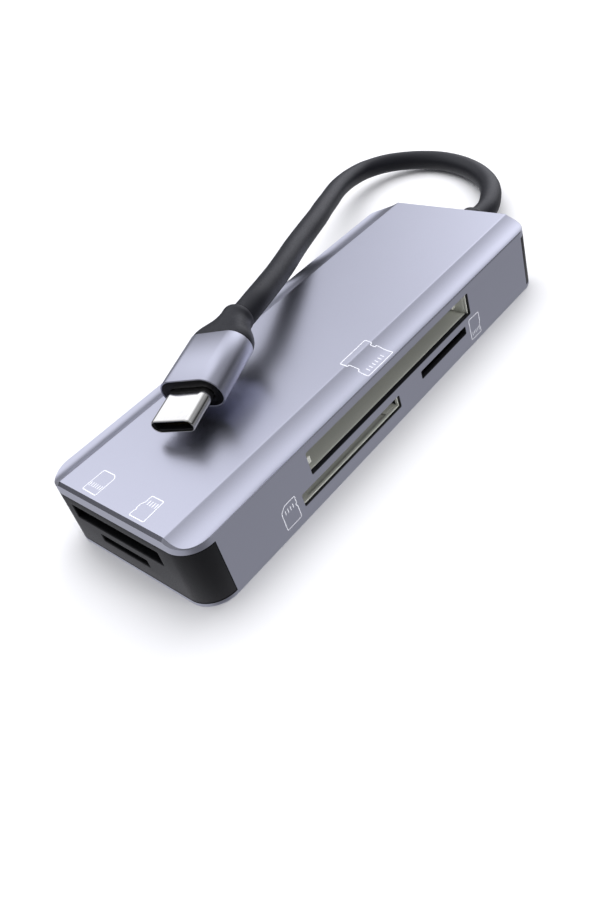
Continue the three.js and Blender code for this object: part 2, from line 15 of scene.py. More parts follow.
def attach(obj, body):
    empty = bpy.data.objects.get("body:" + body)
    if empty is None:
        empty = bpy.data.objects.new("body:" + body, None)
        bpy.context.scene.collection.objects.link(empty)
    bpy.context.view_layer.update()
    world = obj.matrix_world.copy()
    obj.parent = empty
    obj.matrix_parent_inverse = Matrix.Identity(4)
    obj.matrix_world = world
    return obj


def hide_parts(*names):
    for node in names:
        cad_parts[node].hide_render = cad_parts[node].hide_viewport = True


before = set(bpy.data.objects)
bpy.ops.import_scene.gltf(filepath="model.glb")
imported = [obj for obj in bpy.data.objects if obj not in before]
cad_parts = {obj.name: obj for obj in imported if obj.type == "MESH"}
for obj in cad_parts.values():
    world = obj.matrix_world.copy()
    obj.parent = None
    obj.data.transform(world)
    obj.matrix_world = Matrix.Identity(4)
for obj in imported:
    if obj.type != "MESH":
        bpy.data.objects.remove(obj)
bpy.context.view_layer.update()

MM = 0.001
collection = bpy.context.scene.collection

# ------------------------------------------------------------------ sizes, the CAD source's own

HALF_LENGTH = 44.8
HALF_WIDTH = 17.2
HEIGHT = 12.9
EDGE_HEIGHT = 11.75
PLATEAU_HALF = 12.35
FLUTE_PULL = (15.3, 11.1)
CORNER = 4.7
WALL = 0.9
FLOOR = 0.66
CEILING = 10.53
FRONT_EDGE = -40.1
REAR_EDGE = 40.6
FIT = 0.12
CAP_WALL = 1.9
SLOT_CF = ((-21.36, 22.18), (6.1, 10.22))
SLOT_SD = ((-24.44, 0.12), (2.39, 4.65))
SLOT_M2 = ((6.54, 20.07), (3.3, 4.78))
SLOT_MS = ((-11.25, 9.42), (6.28, 8.92))
SLOT_TF = ((-6.35, 4.75), (3.35, 4.8))
EXIT_Z = 6.0
SOCKET_MOUTH = 16.2  # x of the sockets' mouths, just inside the housing's wall
CABLE_DIAMETER = 4.5
PLUG_POSITION = (-2.43, -23.28, 16.72)
PLUG_TURN = (-7.3, 9.1, -163.4)  # pitch about X, roll about Y, yaw about Z, in degrees
SLEEVE = {"width": 11.9, "height": 6.0, "length": 10.8, "wall": 0.3}
SHELL = {"width": 8.34, "height": 2.56, "reach": 6.65}
BOOT = {"collar": 5.5, "length": 6.4, "dome": 1.3}

# The lead's centre line as it lies, from the strain relief round the loop to the boot.
CABLE_ROUTE = [
    (0, 51.8, 6), (-0.9, 58, 5.4), (-3.7, 64.2, 4.8), (-7.4, 69.8, 4),
    (-12, 74.8, 3.2), (-17.3, 78.9, 2.7), (-23.4, 81.9, 2.4), (-30, 83.2, 2.4),
    (-36.6, 81.7, 2.8), (-41.5, 77.7, 3.6), (-43.7, 71.7, 4.6), (-43, 65.1, 5.8),
    (-40.8, 58.9, 7.1), (-37.7, 53, 8.5), (-34.3, 47.3, 9.8), (-30.9, 41.6, 11.2),
    (-27.4, 35.9, 12.5), (-24.1, 30.1, 13.8), (-21, 24.2, 14.9), (-17.9, 18.6, 16),
    (-15, 13.2, 16.8), (-12.4, 7.9, 17.5), (-10.1, 2.95, 18.25), (-8.3, -1.4, 18.8),
    (-7.3, -5.3, 18.76),
]

# ------------------------------------------------------------------ camera

# Where the photo was taken from, and where its right, its bottom and its depth point.
CAMERA_PLACE = Vector((92.70, -78.67, 87.21)) * MM
CAMERA_RIGHT = Vector((0.73168, 0.63077, -0.25839))
CAMERA_DOWN = Vector((0.22014, -0.57742, -0.78621))
CAMERA_AHEAD = Vector((-0.64512, 0.51837, -0.56135))


def photo_camera():
    camera = bpy.data.objects.new("camera", bpy.data.cameras.new("camera"))
    collection.objects.link(camera)
    turn = Matrix((CAMERA_RIGHT, -CAMERA_DOWN, -CAMERA_AHEAD)).transposed()
    camera.matrix_world = Matrix.Translation(CAMERA_PLACE) @ turn.to_4x4()
    camera.data.sensor_width = 36
    camera.data.lens = 34.06
    camera.data.shift_y = -0.08
    camera.data.clip_start = 0.005
    return camera


bpy.context.scene.camera = photo_camera()

# ------------------------------------------------------------------ mesh helpers


def finish_piece(name, bm, materials, crease=35, transform=None, replaces=()):
    """Turns a mesh made in millimetres into a piece that rides on the hub."""
    bmesh.ops.recalc_face_normals(bm, faces=bm.faces)
    for polygon in bm.faces:
        polygon.smooth = True
    for edge in bm.edges:
        edge.smooth = len(edge.link_faces) == 2 and edge.calc_face_angle(0) < math.radians(crease)
    if transform is not None:
        bm.transform(transform)
    bm.transform(Matrix.Scale(MM, 4))
    mesh = bpy.data.meshes.new(name)
    bm.to_mesh(mesh)
    bm.free()
    for material in materials:
        mesh.materials.append(material)
    piece = bpy.data.objects.new(name, mesh)
    collection.objects.link(piece)
    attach(piece, "hub")
    if replaces:
        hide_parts(*replaces)
    return piece


def ring(bm, points):
    return [bm.verts.new(p) for p in points]


def bridge(bm, a, b, closed=True, material=0):
    """Quads between two rings of equal length."""
    count = len(a)
    for i in range(count if closed else count - 1):
        j = (i + 1) % count
        bm.faces.new((a[i], a[j], b[j], b[i])).material_index = material


def face(bm, verts, material=0):
    bm.faces.new(verts).material_index = material


def fill_with_holes(bm, outline, holes, material=0):
    """Fills a flat outline that has holes in it."""
    edges = []
    for loop in [outline, *holes]:
        for i, vert in enumerate(loop):
            pair = (vert, loop[(i + 1) % len(loop)])
            edges.append(bm.edges.get(pair) or bm.edges.new(pair))
    made = bmesh.ops.triangle_fill(bm, edges=edges, use_beauty=True, use_dissolve=False)
    for item in made["geom"]:
        if isinstance(item, bmesh.types.BMFace):
            item.material_index = material


def rounded_rect(width, height, radius, steps, centre=(0, 0)):
    """Points round a rectangle, counter-clockwise; each corner is cut into steps sides."""
    x, y = width / 2 - radius, height / 2 - radius
    points = []
    for i, (u, v) in enumerate([(x, y), (-x, y), (-x, -y), (x, -y)]):
        for k in range(steps + 1):
            angle = math.pi / 2 * (i + k / steps)
            points.append((centre[0] + u + radius * math.cos(angle),
                           centre[1] + v + radius * math.sin(angle)))
    return points


def subdivided(path, longest):
    """Adds points to a closed path until none of its sides is longer than longest."""
    out = []
    for a, b in zip(path, path[1:] + path[:1]):
        parts = max(1, math.ceil((b - a).length / longest))
        out += [a + (b - a) * k / parts for k in range(parts)]
    return out


def slot_loop(span, heights, grow=0.0, radius=0.2):
    """Points round a card slot in its own plane, grown by grow on every side."""
    width = span[1] - span[0] + 2 * grow
    height = heights[1] - heights[0] + 2 * grow
    centre = ((span[0] + span[1]) / 2, (heights[0] + heights[1]) / 2)
    return rounded_rect(width, height, radius + grow, 3, centre)


def add_box(bm, x, y, z):
    """A box given by its extents along each axis."""
    low, high = (ring(bm, [(x[0], y[0], height), (x[1], y[0], height),
                           (x[1], y[1], height), (x[0], y[1], height)]) for height in z)
    bridge(bm, low, high)
    face(bm, low)
    face(bm, high)


def bevel(piece, width, segments=2):
    """Rounds the sharp edges of a piece by width millimetres."""
    modifier = piece.modifiers.new("rounded_edges", "BEVEL")
    modifier.width = width * MM
    modifier.segments = segments
    modifier.limit_method = "ANGLE"
    modifier.angle_limit = math.radians(30)
    modifier.harden_normals = True


# ------------------------------------------------------------------ aluminium housing

FLUTE_STEPS = 200


def flute_point(t):
    """(x, z) on the flute's curve, which runs from the side's edge at 0 to the plateau at 1."""
    a, b, c = (HALF_WIDTH, EDGE_HEIGHT), FLUTE_PULL, (PLATEAU_HALF, HEIGHT)
    return tuple((1 - t) ** 2 * a[i] + 2 * t * (1 - t) * b[i] + t * t * c[i] for i in (0, 1))


FLUTE = [flute_point(1 - i / FLUTE_STEPS) for i in range(FLUTE_STEPS + 1)]
SHOULDER = (PLATEAU_HALF - 0.2, 12.5)  # the plateau's edge is rounded between these


def flute_height(x):
    """Height of the unrounded section at a distance x from the middle."""
    if x <= PLATEAU_HALF:
        return HEIGHT
    for (x0, z0), (x1, z1) in zip(FLUTE, FLUTE[1:]):
        if x <= x1:
            return z0 + (z1 - z0) * (x - x0) / (x1 - x0)
    return EDGE_HEIGHT


def top_height(x):
    """Height of the top surface at x, with the plateau's edge rounded."""
    x = abs(x)
    x0, x2 = SHOULDER
    if not x0 < x < x2:
        return flute_height(x)
    x1, z2 = PLATEAU_HALF, flute_height(x2)
    a, b, c = x0 - 2 * x1 + x2, 2 * (x1 - x0), x0 - x
    t = (-b + math.sqrt(b * b - 4 * a * c)) / (2 * a) if abs(a) > 1e-9 else -c / b
    return (1 - t) ** 2 * HEIGHT + 2 * t * (1 - t) * HEIGHT + t * t * z2


# The rear cap's wrap ends this many degrees short of the corner's end.
EDGE_ANGLE = math.degrees(math.asin((REAR_EDGE - HALF_LENGTH + CORNER) / CORNER))
STRAIGHT = [0, 3, 6, 9, 11, 11.8, 12.15, 12.2, 12.25, 12.3, 12.35, 12.4, 12.45, 12.5]
CORNER_STEPS = 36
TURNS = sorted([90 * i / CORNER_STEPS for i in range(1, CORNER_STEPS + 1)] + [90 - EDGE_ANGLE])
QUARTER = len(STRAIGHT) + len(TURNS)
CORNER_X, CORNER_Y = HALF_WIDTH - CORNER, HALF_LENGTH - CORNER


def quarter(inset):
    """(x, y) from the middle of an end round to a long side, inset by inset(turn in degrees)."""
    points = [(x, HALF_LENGTH - inset(0)) for x in STRAIGHT]
    for turn in TURNS:
        radius = CORNER - inset(turn)
        points.append((CORNER_X + radius * math.sin(math.radians(turn)),
                       CORNER_Y + radius * math.cos(math.radians(turn))))
    return points


def plan_loop(inset, height):
    """The body's outline seen from above, inset, at height(x, turn in degrees)."""
    points = [(x, y, height(x, turn)) for (x, y), turn in
              zip(quarter(inset), [0] * len(STRAIGHT) + TURNS)]
    last = QUARTER - 1
    near_right = [(x, -y, z) for x, y, z in points]
    far_right = [points[i] for i in range(last, -1, -1)]
    far_left = [(-points[i][0], points[i][1], points[i][2]) for i in range(1, QUARTER)]
    near_left = [(-points[i][0], -points[i][1], points[i][2]) for i in range(last, 0, -1)]
    return near_right + far_right + far_left + near_left


def loop_index(side, end, i):
    """Index in a plan loop of point i of a quarter; side is +1 at +X and end is +1 at +Y."""
    if side > 0 or i == 0:
        return i if end < 0 else 2 * QUARTER - 1 - i
    return 2 * QUARTER + i - 1 if end > 0 else 4 * QUARTER - 2 - i


END_CHAMFER, SIDE_CHAMFER = 0.5, 0.13
CHAMFER_FADE = 40  # degrees round the corner in which the end's chamfer narrows to the side's
BASE_EDGE = 0.15
SLOT_CHAMFER = 0.06


def chamfer(turn):
    """Width of the cut round the top edge, turn degrees round the corner."""
    share = min(1, max(0, turn / CHAMFER_FADE))
    share = share * share * (3 - 2 * share)
    return END_CHAMFER + (SIDE_CHAMFER - END_CHAMFER) * share


# The slot edge, slot wall and inside looks are painted shade: darker than the aluminium, where it
# lies in shadow.
ALU, EDGE, SLOT_EDGE_SHADE, SLOT_WALL_SHADE, INSIDE_SHADE = range(5)  # the housing's materials, in order


def level(z):
    return lambda x, turn: z


LAST = QUARTER - 1
SPLIT = TURNS.index(90 - EDGE_ANGLE) + len(STRAIGHT)


def cut_slots(bm, wall, inner, inner_x):
    """Fills the wall's outer and inner outlines, and cuts the card slots through both."""
    loops = []
    for span, heights in (SLOT_CF, SLOT_SD, SLOT_M2):
        mouth, throat, back = [
            ring(bm, [(x, y, z) for y, z in slot_loop(span, heights, grow)])
            for x, grow in ((HALF_WIDTH, SLOT_CHAMFER), (HALF_WIDTH - SLOT_CHAMFER, 0),
                            (inner_x, 0))]
        # The slot's small chamfer gets painted shade, dark grey aluminium.
        bridge(bm, mouth, throat, material=SLOT_EDGE_SHADE)
        # The walls through the aluminium get painted shade, near black in place of bare metal in
        # shadow.
        bridge(bm, throat, back, material=SLOT_WALL_SHADE)
        loops.append((mouth, back))
    fill_with_holes(bm, wall, [mouth for mouth, _ in loops], ALU)
    # The inner face gets painted shade, near black.
    fill_with_holes(bm, inner, [back for _, back in loops], INSIDE_SHADE)


def side_wall(bm, side, lip_bottom, lip_top):
    """A long side between the two caps; returns its inner corners, from front bottom on."""
    corners = [(lip_bottom, -1), (lip_bottom, 1), (lip_top, 1), (lip_top, -1)]
    wall = [loop[loop_index(side, end, LAST)] for loop, end in corners]
    inner_x = side * (HALF_WIDTH - WALL)
    inner = ring(bm, [(inner_x, FRONT_EDGE, FLOOR), (inner_x, REAR_EDGE, FLOOR),
                      (inner_x, REAR_EDGE, CEILING), (inner_x, FRONT_EDGE, CEILING)])
    if side > 0:
        cut_slots(bm, wall, inner, inner_x)
    else:
        face(bm, wall, ALU)
        # The inner face gets painted shade, near black.
        face(bm, inner, INSIDE_SHADE)
    for i in range(SPLIT, LAST):
        a, b = loop_index(side, 1, i), loop_index(side, 1, i + 1)
        face(bm, [lip_bottom[a], lip_bottom[b], lip_top[b], lip_top[a]], ALU)
    rear = loop_index(side, 1, SPLIT)
    front = loop_index(side, -1, LAST)
    # These end faces of the wall get the same near-black painted shade.
    face(bm, [lip_bottom[rear], lip_top[rear], inner[2], inner[1]], SLOT_WALL_SHADE)
    face(bm, [lip_bottom[front], lip_top[front], inner[3], inner[0]], SLOT_WALL_SHADE)
    return inner


def close_lip(bm, loop, right_inner, left_inner):
    """The face of a lip towards the inside, which shows only past the caps. The right inner
    corners come front first and the left ones rear first."""
    outline = list(right_inner)
    outline += [loop[loop_index(1, 1, i)] for i in range(SPLIT, -1, -1)]
    outline += [loop[loop_index(-1, 1, i)] for i in range(1, SPLIT + 1)]
    outline += list(left_inner)
    outline += [loop[loop_index(-1, -1, i)] for i in range(LAST, 0, -1)]
    outline += [loop[loop_index(1, -1, i)] for i in range(0, LAST + 1)]
    # Painted shade: the lip's inner face is near black.
    face(bm, outline, INSIDE_SHADE)


def housing():
    """The extrusion's skin: top with flutes and chamfer, sides with slots, base and lips."""
    bm = bmesh.new()
    top_x = [x for x, _ in quarter(chamfer)]
    height_at = {round(x, 9): top_height(x) for x in top_x}
    by_turn = dict(zip(TURNS, top_x[len(STRAIGHT):]))

    def chamfer_foot(x, turn):
        return top_height(by_turn[turn] if turn else x) - chamfer(turn)

    inner_top = ring(bm, plan_loop(chamfer, lambda x, turn: height_at[round(x, 9)]))
    foot = ring(bm, plan_loop(lambda turn: 0, chamfer_foot))
    lip_top = ring(bm, plan_loop(lambda turn: 0, level(CEILING)))
    lip_bottom = ring(bm, plan_loop(lambda turn: 0, level(FLOOR)))
    edge = ring(bm, plan_loop(lambda turn: 0, level(BASE_EDGE)))
    rounding = ring(bm, plan_loop(lambda turn: 0.3 * BASE_EDGE, level(0.3 * BASE_EDGE)))
    base = ring(bm, plan_loop(lambda turn: BASE_EDGE, level(0)))

    # Top surface: strips that run the whole length, because its height depends on x alone.
    for side in (1, -1):
        for i in range(QUARTER - 1):
            corners = [loop_index(side, end, k) for end, k in
                       ((-1, i), (-1, i + 1), (1, i + 1), (1, i))]
            face(bm, [inner_top[k] for k in corners], ALU)
    bridge(bm, inner_top, foot, material=EDGE)
    bridge(bm, foot, lip_top, material=ALU)
    bridge(bm, lip_bottom, edge, material=ALU)
    bridge(bm, edge, rounding, material=ALU)
    bridge(bm, rounding, base, material=ALU)
    face(bm, base, ALU)

    inner = {side: side_wall(bm, side, lip_bottom, lip_top) for side in (1, -1)}
    close_lip(bm, lip_bottom, inner[1][:2], inner[-1][1::-1])
    close_lip(bm, lip_top, inner[1][:1:-1], inner[-1][2:])
    return bm


# ------------------------------------------------------------------ materials


class Look:
    """A material with a Principled shader, and helpers that add to its node tree."""

    def __init__(self, name, color, roughness, metallic=0.0, **settings):
        self.material = bpy.data.materials.new(name)
        self.material.use_nodes = True
        self.tree = self.material.node_tree
        self.shader = self.tree.nodes["Principled BSDF"]
        self.set("Base Color", (*color, 1))
        self.set("Roughness", roughness)
        self.set("Metallic", metallic)
        for socket, value in settings.items():
            self.set(socket.replace("_", " "), value)
        self.coordinates = self.node("ShaderNodeTexCoord").outputs["Object"]
        self.normal = None

    def set(self, socket, value):
        """Sets a constant on the shader; case doesn't matter in the socket's name."""
        names = {s.name.lower(): s for s in self.shader.inputs}
        names[socket.lower()].default_value = value

    def node(self, kind, settings=None, **inputs):
        made = self.tree.nodes.new(kind)
        for key, value in (settings or {}).items():
            setattr(made, key, value)
        for key, value in inputs.items():
            socket = made.inputs[key.replace("_", " ")]
            if isinstance(value, bpy.types.NodeSocket):
                self.tree.links.new(value, socket)
            else:
                socket.default_value = value
        return made

    def stretched(self, scale):
        """Object coordinates multiplied by scale along each axis."""
        return self.node("ShaderNodeMapping", Vector=self.coordinates, Scale=scale).outputs[0]

    def noise(self, per_mm, detail=3.0, roughness=0.5, stretch=None):
        """Noise with about per_mm features to a millimetre."""
        vector = self.stretched(stretch) if stretch else self.coordinates
        made = self.node("ShaderNodeTexNoise", Vector=vector, Scale=per_mm / MM,
                         Detail=detail, Roughness=roughness)
        return made.outputs["Fac"]

    def ramp(self, factor, low, high, a=0.3, b=0.7):
        """Runs from low to high as factor goes from a to b. Low and high are numbers."""
        made = self.node("ShaderNodeMapRange", {"clamp": True}, Value=factor, From_Min=a,
                         From_Max=b, To_Min=low, To_Max=high)
        return made.outputs[0]

    def mix(self, factor, a, b):
        made = self.node("ShaderNodeMix", {"data_type": "RGBA"})  # its colours: 6 and 7 in, 2 out
        self.tree.links.new(factor, made.inputs["Factor"])
        for socket, value in ((made.inputs[6], a), (made.inputs[7], b)):
            if isinstance(value, bpy.types.NodeSocket):
                self.tree.links.new(value, socket)
            else:
                socket.default_value = (*value, 1)
        return made.outputs[2]

    def paint(self, color):
        self.tree.links.new(color, self.shader.inputs["Base Color"])

    def gloss(self, roughness):
        self.tree.links.new(roughness, self.shader.inputs["Roughness"])

    def bump(self, height, depth_mm, strength=1.0):
        """Adds relief of depth_mm; calls stack."""
        made = self.node("ShaderNodeBump", Height=height, Distance=depth_mm * MM, Strength=strength)
        if self.normal is not None:
            self.tree.links.new(self.normal, made.inputs["Normal"])
        self.normal = made.outputs[0]
        self.tree.links.new(self.normal, self.shader.inputs["Normal"])


def shade(color, factor):
    return tuple(min(1.0, c * factor) for c in color)


def anodised(name, color, roughness):
    """Bead-blasted and anodised aluminium: fine grains, with faint clouds in tone and gloss."""
    look = Look(name, color, roughness, metallic=1.0)
    clouds = look.noise(0.05, detail=4)
    grains = look.noise(6, detail=2, roughness=0.7)
    tone = look.mix(look.ramp(clouds, 0, 1), shade(color, 0.97), shade(color, 1.02))
    look.paint(look.mix(look.ramp(grains, 0, 1), shade(color, 0.97), tone))
    look.gloss(look.ramp(grains, roughness - 0.02, roughness + 0.03))
    look.bump(grains, 0.006, 0.22)
    return look.material


def polished(name, color, roughness, along=(1, 1, 1)):
    """Metal cut or rolled to a shine, with hairlines drawn out along one axis."""
    look = Look(name, color, roughness, metallic=1.0)
    lines = look.noise(9, detail=3, roughness=0.6, stretch=along)
    smudges = look.noise(0.25, detail=3)
    look.paint(look.mix(look.ramp(lines, 0, 1), shade(color, 0.93), shade(color, 1.04)))
    look.gloss(look.ramp(smudges, roughness * 0.8, roughness * 1.3))
    look.bump(lines, 0.003, 0.3)
    return look.material


def moulded(name, color, roughness, grain=4.0, relief=0.02, contrast=0.15, **settings):
    """Injection-moulded plastic with a spark-eroded surface."""
    look = Look(name, color, roughness, **settings)
    texture = look.noise(grain, detail=2, roughness=0.6)
    flow = look.noise(0.12, detail=3)
    tone = look.mix(look.ramp(flow, 0, 1), shade(color, 1 - contrast), shade(color, 1 + contrast))
    look.paint(look.mix(look.ramp(texture, 0, 1), shade(color, 1 - contrast), tone))
    look.gloss(look.ramp(texture, roughness - 0.05, roughness + 0.08))
    look.bump(texture, relief, 0.4)
    return look.material


def laminate():
    """Green solder mask over copper tracks, with bare gold at a few pads."""
    look = Look("laminate", (0.012, 0.085, 0.045), 0.3)
    vector = look.stretched((1, 1, 0.02))
    cells = look.node("ShaderNodeTexVoronoi",
                      {"feature": "DISTANCE_TO_EDGE", "distance": "MANHATTAN"},
                      Vector=vector, Scale=0.45 / MM)
    tracks = look.ramp(cells.outputs["Distance"], 1, 0, 0.05, 0.09)
    dots = look.node("ShaderNodeTexVoronoi", {"feature": "F1"}, Vector=vector, Scale=0.3 / MM)
    pads = look.ramp(dots.outputs["Distance"], 1, 0, 0.1, 0.13)
    green = look.mix(tracks, (0.010, 0.075, 0.04), (0.03, 0.16, 0.07))
    look.paint(look.mix(pads, green, (0.72, 0.5, 0.2)))
    look.bump(tracks, 0.03, 0.6)
    return look.material


ALUMINIUM = (0.62, 0.63, 0.72)
looks = {
    "aluminium": anodised("anodised_aluminium", ALUMINIUM, 0.35),
    "chamfer": polished("cut_chamfer", (0.46, 0.465, 0.525), 0.16),
    # Painted shade: the slots' chamfers are dark grey aluminium, as they look in shadow.
    "slot_edge_painted_shade": anodised("slot_edge_painted_shade", (0.16, 0.163, 0.175), 0.4),
    # Painted shade: the slots' walls through the aluminium are near black, as they look in shadow.
    "slot_wall_painted_shade": moulded("slot_wall_painted_shade", (0.012, 0.012, 0.014), 0.55),
    # Painted shade: the housing's inner faces are near black in place of aluminium, as they look in
    # shadow.
    "inside": moulded("inside", (0.02, 0.02, 0.022), 0.6),
    "cap": moulded("cap_plastic", (0.008, 0.008, 0.0095), 0.42, grain=5, relief=0.008,
                   specular_ior_level=0.4),
    "jacket": moulded("jacket", (0.0075, 0.008, 0.0115), 0.46, grain=3.5, relief=0.012,
                      specular_ior_level=0.43),
    "steel": polished("plug_steel", (0.88, 0.87, 0.82), 0.1, along=(1, 0.05, 1)),
    "ivory": moulded("ivory_plastic", (0.66, 0.67, 0.6), 0.45, contrast=0.05),
    "black": moulded("black_plastic", (0.004, 0.004, 0.005), 0.5, specular_ior_level=0.25),
    "gold": polished("contact_gold", (0.83, 0.6, 0.25), 0.22),
    "sheet": polished("sheet_steel", (0.6, 0.61, 0.63), 0.28, along=(1, 0.05, 1)),
    "laminate": laminate(),
    "resin": moulded("chip_resin", (0.012, 0.012, 0.013), 0.5, grain=9),
    "ceramic": moulded("ceramic", (0.3, 0.2, 0.12), 0.4, grain=6),
    "tantalum": moulded("tantalum", (0.55, 0.36, 0.06), 0.4),
    "ink": moulded("white_ink", (0.9, 0.91, 0.96), 0.5, grain=8, relief=0.004, contrast=0.03),
    "wire_red": moulded("wire_red", (0.4, 0.02, 0.02), 0.4),
    "wire_white": moulded("wire_white", (0.7, 0.7, 0.66), 0.4),
    "wire_green": moulded("wire_green", (0.02, 0.22, 0.06), 0.4),
    "wire_black": moulded("wire_black", (0.015, 0.015, 0.015), 0.4),
}

HOUSING_LOOKS = [looks[k] for k in ("aluminium", "chamfer", "slot_edge_painted_shade", "slot_wall_painted_shade", "inside")]
finish_piece("housing_extrusion", housing(), HOUSING_LOOKS, crease=14, replaces=["housing"])

# ------------------------------------------------------------------ end caps

CAP_Z = (FLOOR + FIT, CEILING - FIT)
CAP_STEPS = 30
CAP_EDGE = 0.14
OPENING_CHAMFER = 0.12
LEAD_HOLE = 2.65


def cap_path(end, wrap, inset):
    """(x, y) along the cap's wall from the +X wrap's end, round the end, to the -X one."""
    turns = [wrap * (1 - i / CAP_STEPS) for i in range(CAP_STEPS + 1)]
    side = []
    for turn in turns:
        radius = CORNER - inset
        side.append((CORNER_X + radius * math.sin(math.radians(turn)),
                     end * (CORNER_Y + radius * math.cos(math.radians(turn)))))
    return side + [(-x, y) for x, y in reversed(side)]


def end_cap(end, wrap, openings):
    """The wall that closes one end. Each opening is a function that gives the points of its
    outline at y, grown by grow."""
    bm = bmesh.new()
    low, high = CAP_Z
    levels = [(low, CAP_EDGE), (low + 0.04, 0.04), (low + CAP_EDGE, 0),
              (high - CAP_EDGE, 0), (high - 0.04, 0.04), (high, CAP_EDGE)]
    outer = [ring(bm, [(x, y, z) for x, y in cap_path(end, wrap, inset)]) for z, inset in levels]
    inner = [ring(bm, [(x, y, z) for x, y in cap_path(end, wrap, CAP_WALL)]) for z in (low, high)]
    middle = CAP_STEPS
    count = len(outer[0])
    for a, b in zip(outer, outer[1:]):
        for i in range(count - 1):
            if i != middle or a is not outer[2]:
                face(bm, [a[i], a[i + 1], b[i + 1], b[i]])
    for i in range(count - 1):
        if i != middle:
            face(bm, [inner[0][i], inner[0][i + 1], inner[1][i + 1], inner[1][i]])
        face(bm, [outer[0][i], outer[0][i + 1], inner[0][i + 1], inner[0][i]])
        face(bm, [outer[-1][i], outer[-1][i + 1], inner[1][i + 1], inner[1][i]])
    for i in (0, count - 1):
        face(bm, [loop[i] for loop in outer] + [inner[1][i], inner[0][i]])
    y_out, y_in = end * HALF_LENGTH, end * (HALF_LENGTH - CAP_WALL)
    mouths, backs = [], []
    for make in openings:
        loops = [ring(bm, make(y, grow)) for y, grow in
                 ((y_out, OPENING_CHAMFER), (y_out - end * OPENING_CHAMFER, 0), (y_in, 0))]
        for a, b in zip(loops, loops[1:]):
            bridge(bm, a, b, material=1 if b is loops[-1] else 0)
        mouths.append(loops[0])
        backs.append(loops[-1])
    front = [outer[2][middle], outer[2][middle + 1], outer[3][middle + 1], outer[3][middle]]
    back = [inner[0][middle], inner[0][middle + 1], inner[1][middle + 1], inner[1][middle]]
    fill_with_holes(bm, front, mouths)
    fill_with_holes(bm, back, backs)
    return bm


def slot_opening(slot):
    """Makes the loops of a card slot through an end cap."""
    return lambda y, grow: [(x, y, z) for x, z in slot_loop(*slot, grow, radius=0.12)]


def round_opening(radius):
    """Makes the loops of the lead's hole through an end cap."""
    def make(y, grow):
        angles = [2 * math.pi * i / 40 for i in range(40)]
        return [((radius + grow) * math.cos(a), y, EXIT_Z + (radius + grow) * math.sin(a))
                for a in angles]
    return make


front_wrap = math.degrees(math.acos((-FRONT_EDGE + FIT - CORNER_Y) / CORNER))
rear_wrap = math.degrees(math.acos((REAR_EDGE + FIT - CORNER_Y) / CORNER))
finish_piece("front_cap_moulding",
             end_cap(-1, front_wrap, [slot_opening(SLOT_MS), slot_opening(SLOT_TF)]),
             [looks["cap"], looks["black"]], replaces=["front_cap"])
finish_piece("rear_cap_moulding", end_cap(1, rear_wrap, [round_opening(LEAD_HOLE)]),
             [looks["cap"], looks["black"]], replaces=["rear_cap"])

# ------------------------------------------------------------------ card sockets


def mouth_lining(bm, slot, bottom):
    """Thin ends of a socket's mouth, which reach into the slot's opening, and its bottom."""
    gap, thick, seam = 0.03, 0.25, 0.002
    (near, far), (low, high) = slot
    reach = (SOCKET_MOUTH + 0.005, HALF_WIDTH - 0.42)
    near, far, low, high = near + gap, far - gap, low + gap, high - gap
    for edge in (near, far - thick):
        add_box(bm, reach, (edge, edge + thick), (low, high))
    if bottom:
        add_box(bm, reach, (near + thick + seam, far - thick - seam), (low, low + thick))


def cf_guide_frame():
    """Floor and two side rails; the ribs on the rails run in the grooves of the card's edges."""
    bm = bmesh.new()
    back, base, floor, top = -6.38, 5.87, 6.1, 10.38
    wall, inset = 1.6, 0.3  # each rail is this thick past the slot's end, and this far inside it
    rib_reach, rib_z = 1.4, (7.1, 8.35)
    stop_reach, stop_z = 0.75, (8.8, 9.3)
    (near, far), _ = SLOT_CF
    add_box(bm, (back, SOCKET_MOUTH), (near - wall, far + wall), (base, floor))
    for sign, edge, rib_start in ((1, near, 0.02), (-1, far, 1.6)):
        rail = sorted((edge - sign * wall, edge + sign * inset))
        rib = sorted((edge + sign * inset, edge + sign * rib_reach))
        stop = sorted((edge + sign * inset, edge + sign * stop_reach))
        add_box(bm, (back, SOCKET_MOUTH), rail, (floor + 0.002, top))
        add_box(bm, (back, SOCKET_MOUTH - rib_start), rib, rib_z)
        add_box(bm, (SOCKET_MOUTH - 2.6, SOCKET_MOUTH - 0.5), stop, stop_z)
    mouth_lining(bm, SLOT_CF, bottom=False)
    return bm


guide = finish_piece("cf_guide_frame", cf_guide_frame(), [looks["ivory"]], replaces=["cf_frame"])
bevel(guide, 0.12, 3)


def sd_guide_cover():
    """Floor of the SD socket with a ledge along each side, where the card is thinner."""
    bm = bmesh.new()
    back, floor_z, ledge_z = -5.7, (1.78, 2.28), (2.0, 2.64)
    ledge_start, gap = 4.2, 0.06
    (near, far), _ = SLOT_SD
    add_box(bm, (back, SOCKET_MOUTH), (near - 2.7, far + 1.7), floor_z)
    add_box(bm, (ledge_start, SOCKET_MOUTH + 0.12), (near + gap, near + 2.0), ledge_z)
    add_box(bm, (ledge_start, SOCKET_MOUTH), (far - 2.9, far - gap), ledge_z)
    mouth_lining(bm, SLOT_SD, bottom=True)
    return bm


cover = finish_piece("sd_guide_cover", sd_guide_cover(), [looks["ivory"]], replaces=["sd_cover"])
bevel(cover, 0.1, 3)

# ------------------------------------------------------------------ cord, strain relief


def centripetal_handles(points):
    """Bezier handles that give a centripetal Catmull-Rom curve through the points."""
    ends = [points[0] * 2 - points[1], *points, points[-1] * 2 - points[-2]]
    handles = []
    for i in range(len(points) - 1):
        p0, p1, p2, p3 = ends[i:i + 4]
        d0, d1, d2 = ((b - a).length ** 0.5 for a, b in ((p0, p1), (p1, p2), (p2, p3)))
        m1 = ((p1 - p0) / d0 - (p2 - p0) / (d0 + d1) + (p2 - p1) / d1) * d1
        m2 = ((p2 - p1) / d1 - (p3 - p1) / (d1 + d2) + (p3 - p2) / d2) * d1
        handles.append((p1 + m1 / 3, p2 - m2 / 3))
    return handles


